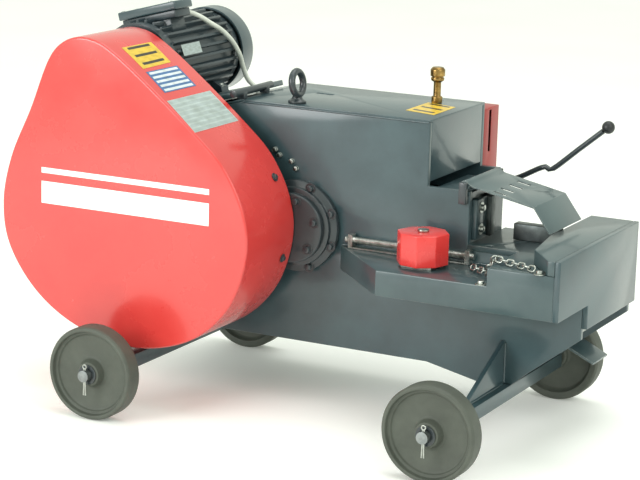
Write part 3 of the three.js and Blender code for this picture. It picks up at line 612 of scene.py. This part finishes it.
film("guard_label_yellow", [(-0.302, -0.192, 0.724), (-0.303, -0.079, 0.725), (-0.356, -0.071, 0.766),
                            (-0.357, -0.186, 0.766)], yellow_film, "black_plastic", guard)
film("guard_label_blue", [(-0.244, -0.200, 0.680), (-0.243, -0.074, 0.679), (-0.293, -0.071, 0.717),
                          (-0.294, -0.194, 0.718)], blue_film, "black_plastic", guard)
film("guard_plate_silver", [(-0.154, -0.224, 0.611), (-0.153, -0.044, 0.611), (-0.226, -0.044, 0.666),
                            (-0.227, -0.219, 0.667)], silver_film, "bright_steel", guard)
# plain white vinyl, cut into two stripes on the guard's face
white_film, shader = new_material("white_vinyl_film", 0.3)
spot = add_node(white_film, "ShaderNodeTexCoord").outputs["Object"]
soil = add_node(white_film, "ShaderNodeTexNoise", {"Vector": spot, "Scale": 12, "Detail": 5})
connect(white_film, ramp_of(white_film, soil.outputs["Fac"], [(0.25, "#e9e6e0"), (0.6, "#fbfbf8")]),
        shader.inputs["Base Color"])
STRIPE_LEFT, STRIPE_RIGHT, STRIPE_Y = -0.53, -0.115, -0.2293
for name, low_edge, high_edge in [("guard_stripe_wide", 0.420, 0.468), ("guard_stripe_narrow", 0.486, 0.498)]:
    film(name, [(STRIPE_LEFT, STRIPE_Y, low_edge), (STRIPE_RIGHT, STRIPE_Y, low_edge),
                (STRIPE_RIGHT, STRIPE_Y, high_edge), (STRIPE_LEFT, STRIPE_Y, high_edge)], white_film,
         "black_plastic")
painted(dark_enamel, "guard_back_plate")
rim_screw = hex_bolt("m6_screw", 0.010, 0.004)
flat_screw = hex_bolt("m5_flat_screw", 0.008, 0.0012, 1.5)
spread(rim_screw, "guard_rim_screws", [((-0.0535, -0.060, 0.5025), (0.86, 0, 0.51), 0.2),
                                       ((-0.0305, -0.060, 0.33), (0.98, 0, -0.2), 0.5)], "frame", dark_enamel,
       "dark_paint")


# ---------------------------------------------------------------------------
# Belt drive inside the guard: cast flywheel and small pulley, rubber V-belts,
# on the turned pinion shaft and the motor's shaft.
# ---------------------------------------------------------------------------
def raw_casting(name, deep, pale):
    """Grey cast iron as cast: dark skin with sand grain about 1 mm across."""
    material, shader = new_material(name, 0.62, 0.75)
    spot = add_node(material, "ShaderNodeTexCoord").outputs["Object"]
    cloud = add_node(material, "ShaderNodeTexNoise", {"Vector": spot, "Scale": 18, "Detail": 7, "Roughness": 0.7})
    connect(material, ramp_of(material, cloud.outputs["Fac"], [(0.3, deep), (0.7, pale)]),
            shader.inputs["Base Color"])
    sand = add_node(material, "ShaderNodeTexNoise", {"Vector": spot, "Scale": 700, "Detail": 3})
    bump = add_node(material, "ShaderNodeBump",
                    {"Strength": 0.4, "Distance": 0.0004, "Height": sand.outputs["Fac"]})
    connect(material, bump.outputs["Normal"], shader.inputs["Normal"])
    return material


# pulleys, gears and rod are left as cast; shafts and ram are turned and ground bright
cast_iron = raw_casting("grey_cast_iron", "#3e4244", "#5d6163")
machined = plated("machined_steel", "#74797a", "#a9aeae", 0.3, 25)
painted(cast_iron, "flywheel", "motor_pulley", "intermediate_gear", "crank_gear", "connecting_rod")
painted(machined, "pinion_shaft", "motor_shaft", "intermediate_shaft", "crankshaft")

# belt rubber: a woven cover, with ridges 13 mm apart across the set of belts
belt_rubber, shader = new_material("v_belt_rubber", 0.8)
spot = add_node(belt_rubber, "ShaderNodeTexCoord").outputs["Object"]
weave = add_node(belt_rubber, "ShaderNodeTexNoise", {"Vector": spot, "Scale": 500, "Detail": 3})
connect(belt_rubber, ramp_of(belt_rubber, weave.outputs["Fac"], [(0.3, "#161718"), (0.7, "#2b2c2d")]),
        shader.inputs["Base Color"])
ribs = add_node(belt_rubber, "ShaderNodeTexWave", {"Vector": spot, "Scale": 24}, bands_direction="Y")
bump = add_node(belt_rubber, "ShaderNodeBump", {"Strength": 0.6, "Distance": 0.002, "Height": ribs.outputs["Fac"]})
connect(belt_rubber, bump.outputs["Normal"], shader.inputs["Normal"])
painted(belt_rubber, "drive_belt")


# ---------------------------------------------------------------------------
# Motor: a cast housing with cooling fins, a pressed fan cowl, a terminal box
# with its lid, and a tilted base plate that hinges to tighten the belts.
# ---------------------------------------------------------------------------
motor_enamel = enamel("dark_motor_enamel", "#1e2a2f", "#2a3940", 0.42, bare_share=0.3, clearcoat=0.4)
finished(from_solid("motor_housing", "finned_motor_housing", 0.0008, 1, 24), motor_enamel, "frame", "motor_paint",
         "motor_housing")
finished(from_solid("terminal_box", "motor_terminal_box", 0.002), motor_enamel, "frame", "motor_paint",
         "terminal_box")
finished(from_solid("terminal_lid", "motor_terminal_lid", 0.003, 3), blue_grey_enamel, "frame", "body_paint",
         "terminal_lid")
finished(from_solid("motor_base_plate", "tilted_base_plate", 0.0015), blue_grey_enamel, "frame", "body_paint",
         "motor_base_plate")
finished(from_solid("base_hinge_bar", "base_plate_hinge", 0.001), dark_enamel, "frame", "dark_paint",
         "base_hinge_bar")
painted(zinc_plate, "tension_screw")

COWL = middle_of("fan_cowl")
MOTOR = Vector((COWL.x, 0, COWL.z))
GRILLE_Y = 0.3515
GRILLE_WIRE = 0.0013
cowl = turned("pressed_fan_cowl", "Y", MOTOR, [
    (0.0935, 0.292), (0.0935, 0.336), (0.0915, 0.343), (0.086, 0.3475), (0.060, 0.3505), (0.034, GRILLE_Y),
    (0.034, 0.354), (0.060, 0.353), (0.0875, 0.3505), (0.0945, 0.345), (0.098, 0.337), (0.098, 0.292),
    (0.0935, 0.292),
], 96, bored=True, width=0)
bars = []
for radius in (0.010, 0.019, 0.028):
    nothing_selected()
    bpy.ops.mesh.primitive_torus_add(location=(MOTOR.x, GRILLE_Y, MOTOR.z), rotation=(math.pi / 2, 0, 0),
                                     major_segments=48, minor_segments=8, major_radius=radius,
                                     minor_radius=GRILLE_WIRE)
    bpy.ops.object.transform_apply(location=True, rotation=True, scale=True)
    bpy.ops.object.shade_smooth()
    bars.append(bpy.context.object)
for i in range(3):
    nothing_selected()
    bpy.ops.mesh.primitive_cylinder_add(vertices=10, radius=GRILLE_WIRE, depth=0.072,
                                        location=(MOTOR.x, GRILLE_Y, MOTOR.z), rotation=(0, i * math.pi / 3, 0))
    bpy.ops.object.transform_apply(location=True, rotation=True, scale=True)
    bars.append(bpy.context.object)
finished(joined("pressed_fan_cowl", cowl, *bars), blue_grey_enamel, "frame", "body_paint", "fan_cowl")


def moulded(name, deep, pale, roughness):
    """Moulded plastic with a fine spark-eroded grain."""
    material, shader = new_material(name, roughness)
    spot = add_node(material, "ShaderNodeTexCoord").outputs["Object"]
    cloud = add_node(material, "ShaderNodeTexNoise", {"Vector": spot, "Scale": 40, "Detail": 4})
    connect(material, ramp_of(material, cloud.outputs["Fac"], [(0.3, deep), (0.7, pale)]),
            shader.inputs["Base Color"])
    grain = add_node(material, "ShaderNodeTexNoise", {"Vector": spot, "Scale": 900, "Detail": 2})
    bump = add_node(material, "ShaderNodeBump",
                    {"Strength": 0.15, "Distance": 0.0002, "Height": grain.outputs["Fac"]})
    connect(material, bump.outputs["Normal"], shader.inputs["Normal"])
    return material


black_plastic = moulded("black_moulded_plastic", "#17191a", "#25282a", 0.42)
painted(black_plastic, "cooling_fan")

TILT = math.radians(15)


def on_motor(x, y, z):
    """A point given on the motor's own upright axes, tilted with its base."""
    return (MOTOR.x + x * math.cos(TILT) - z * math.sin(TILT), y,
            MOTOR.z + x * math.sin(TILT) + z * math.cos(TILT))


# the gland is turned on the motor's own axes, then tilted with it
gland = turned("cable_gland_nut", "Y", (0.060, 0, 0.0926), [
    (0.008, 0.1163), (0.008, 0.123), (0.0068, 0.1245), (0.0068, 0.129), (0.006, 0.1295)], 12, width=0.0004)
gland.data.transform(Matrix.Translation(MOTOR) @ Matrix.Rotation(-TILT, 4, "Y"))
finished(gland, black_plastic, "frame", "black_plastic", "cable_gland")
motor_up = (-math.sin(TILT), 0, math.cos(TILT))
spread(flat_screw, "terminal_lid_screws", [(on_motor(x, y, 0.1188), motor_up, 0.3) for x in (-0.048, 0.078)
                                          for y in (0.057, 0.113)], "frame")
spread(small_bolt, "motor_foot_bolts", [(on_motor(x, y, -0.0878), motor_up, 0.5) for x in (-0.070, 0.070)
                                        for y in (0.055, 0.205)], "frame")
# the rating plate is riveted to a flat on the housing, blank but for ruled lines
film("motor_rating_plate", [on_motor(0.0974, 0.031, 0.0228), on_motor(0.0974, 0.109, 0.0228),
                            on_motor(0.1000, 0.109, -0.0021), on_motor(0.1000, 0.031, -0.0021)], silver_film,
     "bright_steel")

CABLE_RADIUS = 0.0055
cable_sheath = moulded("white_cable_sheath", "#c9cdc2", "#dfe2d8", 0.45)
route = [(-0.3958, 0.1306, 0.8054), (-0.3956, 0.137, 0.8054), (-0.390, 0.148, 0.804), (-0.377, 0.165, 0.796),
         (-0.361, 0.187, 0.780), (-0.3405, 0.222, 0.754), (-0.326, 0.258, 0.710), (-0.325, 0.283, 0.668),
         (-0.320, 0.296, 0.641), (-0.310, 0.309, 0.625), (-0.288, 0.314, 0.604), (-0.230, 0.315, 0.592),
         (-0.060, 0.315, 0.588), (0.080, 0.316, 0.588), (0.1496, 0.320, 0.588)]


def bent_round(name, points, radius, sides=5):
    """A round bar or cable that follows its points."""
    nothing_selected()
    bpy.ops.curve.primitive_bezier_curve_add()
    bar = bpy.context.object
    bar.name = name
    bar.data.splines.clear()
    spline = bar.data.splines.new("BEZIER")
    spline.bezier_points.add(len(points) - 1)
    spline.resolution_u = 10
    for knot, point in zip(spline.bezier_points, points):
        knot.co = point
        knot.handle_left_type = knot.handle_right_type = "AUTO"
    bar.data.dimensions = "3D"
    bar.data.bevel_depth = radius
    bar.data.bevel_resolution = sides
    bar.data.use_fill_caps = True
    bpy.ops.object.convert(target="MESH")
    bpy.ops.object.mode_set(mode="EDIT")
    bpy.ops.mesh.select_all(action="SELECT")
    bpy.ops.mesh.remove_doubles(threshold=0.00001)
    bpy.ops.mesh.normals_make_consistent(inside=False)
    bpy.ops.object.mode_set(mode="OBJECT")
    bpy.ops.object.shade_smooth_by_angle(angle=math.radians(40))
    return bar


finished(bent_round("motor_cable_sheath", route, CABLE_RADIUS), cable_sheath, "frame", "cable_jacket", "motor_cable")


# ---------------------------------------------------------------------------
# Running gear: two square axle beams with turned stubs, and four cast wheels
# held by a washer and a split pin.
# ---------------------------------------------------------------------------
finished(from_solid("front_axle", "front_axle_beam", 0.002), blue_grey_enamel, "frame", "body_paint", "front_axle")
finished(from_solid("rear_axle", "rear_axle_beam", 0.002), blue_grey_enamel, "frame", "body_paint", "rear_axle")
STUB_FROM = 0.307
for name in ("front_axle_beam", "rear_axle_beam"):
    axle = bpy.data.objects[name]
    axle.data.materials.append(machined)
    for face in axle.data.polygons:
        if abs(face.center.y) > STUB_FROM:
            face.material_index = 1
for x in (0.4455, 0.4565):
    weld_bead("weld_gusset_side_%d" % (x * 10000), [(x, 0.0175, 0.112), (x, 0.0175, 0.198)])
    weld_bead("weld_gusset_beam_%d" % (x * 10000), [(x, 0.012, 0.1115), (x, -0.155, 0.1115)])


def painted_casting(name, deep, pale):
    """Cast iron under one thin grey coat: the sand grain shows through, in clouds of darker and paler grey."""
    material, shader = new_material(name, 0.6)
    spot = add_node(material, "ShaderNodeTexCoord").outputs["Object"]
    cloud = add_node(material, "ShaderNodeTexNoise", {"Vector": spot, "Scale": 14, "Detail": 6, "Roughness": 0.65})
    connect(material, ramp_of(material, cloud.outputs["Fac"], [(0.28, deep), (0.72, pale)]),
            shader.inputs["Base Color"])
    sand = add_node(material, "ShaderNodeTexNoise", {"Vector": spot, "Scale": 420, "Detail": 3})
    bump = add_node(material, "ShaderNodeBump",
                    {"Strength": 0.3, "Distance": 0.0005, "Height": sand.outputs["Fac"]})
    connect(material, bump.outputs["Normal"], shader.inputs["Normal"])
    return material


wheel_casting = painted_casting("grey_painted_wheel_casting", "#42463f", "#53584f")
RADIUS, INNER, WIDTH = 0.100, 0.313, 0.045
PIN_PLACE = 0.3725
# radius, and depth outwards from the wheel's inner face
WHEEL_PROFILE = [
    (0.0129, 0), (0.024, 0), (0.027, 0.003), (0.028, 0.011), (0.032, 0.014), (0.077, 0.015), (0.081, 0.011),
    (0.084, 0.001), (0.096, 0.001), (0.0999, 0.005), (0.0999, WIDTH - 0.006), (0.0975, WIDTH - 0.001),
    (0.096, WIDTH), (0.0915, WIDTH), (0.090, WIDTH - 0.001), (0.0885, WIDTH - 0.009), (0.0865, WIDTH - 0.010),
    (0.0845, WIDTH - 0.010), (0.083, WIDTH - 0.011), (0.081, WIDTH - 0.0145), (0.078, WIDTH - 0.0155),
    (0.034, WIDTH - 0.0165), (0.030, WIDTH - 0.014), (0.0265, WIDTH - 0.002), (0.0255, WIDTH + 0.0025),
    (0.024, WIDTH + 0.003), (0.0129, WIDTH + 0.003), (0.0129, 0),
]
WASHER_PROFILE = [
    (0.0131, WIDTH + 0.0035), (0.021, WIDTH + 0.0035), (0.021, WIDTH + 0.006), (0.0131, WIDTH + 0.006),
    (0.0131, WIDTH + 0.0035),
]


def on_axle(profile, side):
    """The profile with its depths turned into places along the axle, on side -1 or 1."""
    return [(radius, side * (INNER + depth)) for radius, depth in profile]


for node_name, body, side in [
    ("wheel_front_left", "wheel_fl", -1), ("wheel_front_right", "wheel_fr", -1),
    ("wheel_rear_left", "wheel_rl", 1), ("wheel_rear_right", "wheel_rr", 1),
]:
    x = middle_of(node_name).x
    wheel = turned(node_name.replace("wheel", "cast_wheel"), "Y", (x, 0, RADIUS), on_axle(WHEEL_PROFILE, side),
                   96, bored=True, width=0.0007, angle=24)
    finished(wheel, wheel_casting, body, "wheel_iron", node_name)
    # the washer and the split pin stay on the axle
    washer = turned("washer_" + node_name, "Y", (x, 0, RADIUS), on_axle(WASHER_PROFILE, side), 48, bored=True,
                    width=0.0004)
    finished(washer, dark_enamel, "frame", "dark_paint")
    y = side * PIN_PLACE
    legs = [bent_round("leg", [(x + shift, y, RADIUS + depth) for shift, depth in
                               [(start, 0.016), (start, 0), (start * 1.1, -0.024), (start * 1.5, -0.042)]],
                       0.0017, 3) for start in (-0.0016, 0.0016)]
    nothing_selected()
    bpy.ops.mesh.primitive_torus_add(location=(x, y, RADIUS + 0.0195), rotation=(math.pi / 2, 0, 0),
                                     major_segments=24, minor_segments=8, major_radius=0.0042, minor_radius=0.0015)
    bpy.ops.object.transform_apply(location=True, rotation=True, scale=True)
    bpy.ops.object.shade_smooth()
    finished(joined("split_pin_" + node_name, bpy.context.object, *legs), zinc_plate, "frame", "bright_steel")


# ---------------------------------------------------------------------------
# Ram, blades and flap guard: a ground steel bar with bolted blades, under a
# bent sheet flap that hinges over the throat.
# ---------------------------------------------------------------------------
painted(machined, "ram")
# blades are hardened tool steel, ground and oiled; their colour is also darkened as painted shade for the shadow over
# the throat
shade_darkened_tool_steel = plated("hardened_tool_steel_with_painted_shade", "#43494a", "#646a69", 0.4, 25)
for node_name, name, body in [("moving_blade", "ground_moving_blade", "ram_body"),
                              ("fixed_blade", "ground_fixed_blade", "frame")]:
    finished(from_solid(node_name, name, 0.0012), shade_darkened_tool_steel, body, "machined_steel", node_name)
finished(from_solid("blade_holder", "blade_clamp", 0.0015), blue_grey_enamel, "ram_body", "body_paint",
         "blade_holder")
spread(small_bolt, "blade_clamp_screws", [((0.372, 0.060, z), (1, 0, 0), 0.4) for z in (0.422, 0.468)], "ram_body")
finished(from_solid("flap_guard", "bent_flap_guard", 0.0008), rubbed_enamel, "flap", "body_paint", "flap_guard")
finished(from_solid("flap_hinge_pin", "flap_hinge", 0.001), dark_enamel, "frame", "dark_paint", "flap_hinge_pin")


# ---------------------------------------------------------------------------
# Bar stop: a red octagonal cam on a plated carriage that slides along a
# threaded rod, and a short keeper chain beside it.
# ---------------------------------------------------------------------------
gloss_cam_red = enamel("gloss_red_cam_enamel", "#d6302f", "#e8413d", 0.28, bared="#8f8a86", bare_share=0.8,
                       clearcoat=0.4)
finished(from_solid("retaining_cam", "octagonal_cam", 0.006, 4, 30), gloss_cam_red, "cam", "guard_paint",
         "retaining_cam")
finished(from_solid("cam_carriage", "cam_slide", 0.0008), zinc_plate, "carriage", "bright_steel", "cam_carriage")

# zinc-plated threaded rod
thread, shader = new_material("rolled_thread", 0.3, 1.0)
spot = add_node(thread, "ShaderNodeTexCoord").outputs["Object"]
shine = add_node(thread, "ShaderNodeTexNoise", {"Vector": spot, "Scale": 80, "Detail": 4})
connect(thread, ramp_of(thread, shine.outputs["Fac"], [(0.3, "#b9bdb6"), (0.7, "#f0f1ec")]),
        shader.inputs["Base Color"])
# a 3 mm pitch stands for the real 2 mm one, which is too fine to show
pitch = add_node(thread, "ShaderNodeTexWave", {"Vector": spot, "Scale": 105, "Distortion": 0}, bands_direction="X")
bump = add_node(thread, "ShaderNodeBump", {"Strength": 1.0, "Distance": 0.0015, "Height": pitch.outputs["Fac"]})
connect(thread, bump.outputs["Normal"], shader.inputs["Normal"])
finished(from_solid("adjuster_rod", "threaded_adjuster", 0.0004, 1), thread, "frame", "bright_steel",
         "adjuster_rod")

# the chain lies over the ledge: links bent from 4 mm wire, turned a right angle from one to the next
LINK_PITCH = 0.0138
links_route = [Vector(p) for p in [(0.400, -0.044, 0.366), (0.430, -0.066, 0.367), (0.451, -0.084, 0.370),
                                   (0.463, -0.095, 0.388), (0.475, -0.103, 0.406), (0.496, -0.110, 0.404),
                                   (0.534, -0.121, 0.403), (0.574, -0.138, 0.403)]]
nothing_selected()
bpy.ops.mesh.primitive_torus_add(major_segments=20, minor_segments=8, major_radius=0.006, minor_radius=0.002)
link = bpy.context.object
bpy.ops.object.transform_apply(location=True, rotation=True, scale=True)
for point in link.data.vertices:
    point.co.x += 0.0032 if point.co.x > 0 else -0.0032
bpy.ops.object.shade_smooth()
steps = []
total = sum((b - a).length for a, b in zip(links_route, links_route[1:]))
count = int(total / LINK_PITCH)
for i in range(count):
    walk = (i + 0.5) * total / count
    for a, b in zip(links_route, links_route[1:]):
        if walk <= (b - a).length:
            steps.append((a.lerp(b, walk / (b - a).length), (b - a).normalized()))
            break
        walk -= (b - a).length
links = []
for i, (spot, along) in enumerate(steps):
    copy = link.copy()
    copy.data = link.data.copy()
    scene.collection.objects.link(copy)
    side = along.cross(Vector((0, 0, 1))).normalized()
    upright = side.cross(along)
    facing = Matrix((along, side, upright)).transposed().to_4x4()
    roll = Matrix.Rotation(math.radians(28 if i % 2 else -62), 4, "X")
    copy.data.transform(Matrix.Translation(spot) @ facing @ roll)
    links.append(copy)
bpy.data.objects.remove(link)
finished(joined("keeper_chain_links", *links), zinc_plate, "frame", "bright_steel", "keeper_chain")
spread(small_bolt, "ledge_bolts", [((0.462, -0.138, 0.357), (0, 0, 1), 0.3),
                                   ((0.588, -0.143, 0.3955), (0, 0, 1), 0.8)], "frame")


# ---------------------------------------------------------------------------
# Controls on the rear side: a bent round lever with a ball knob, a red box
# with the cable's switch, and a folded foot pedal on its cross rod.
# ---------------------------------------------------------------------------
finished(from_solid("hand_lever", "bent_hand_lever", 0.0005, 1), dark_enamel, "lever", "dark_paint", "hand_lever")
nothing_selected()
bpy.ops.mesh.primitive_uv_sphere_add(segments=48, ring_count=24, radius=0.0139, location=middle_of("lever_knob"))
knob = bpy.context.object
bpy.ops.object.transform_apply(location=True, rotation=True, scale=True)
bpy.ops.object.shade_smooth()
finished(knob, black_plastic, "lever", "black_plastic", "lever_knob")
box_enamel = enamel("dull_red_box_enamel", "#932a29", "#a23531", 0.45, clearcoat=0.2)
finished(from_solid("control_box", "red_switch_box", 0.003, 3), box_enamel, "frame", "guard_paint",
         "control_box")
finished(from_solid("foot_pedal", "folded_foot_pedal", 0.0012), rubbed_enamel, "pedal", "body_paint", "foot_pedal")
painted(zinc_plate, "pedal_rod")

for spare in (small_bolt, plain_bolt, rim_screw, flat_screw):
    bpy.data.objects.remove(spare)
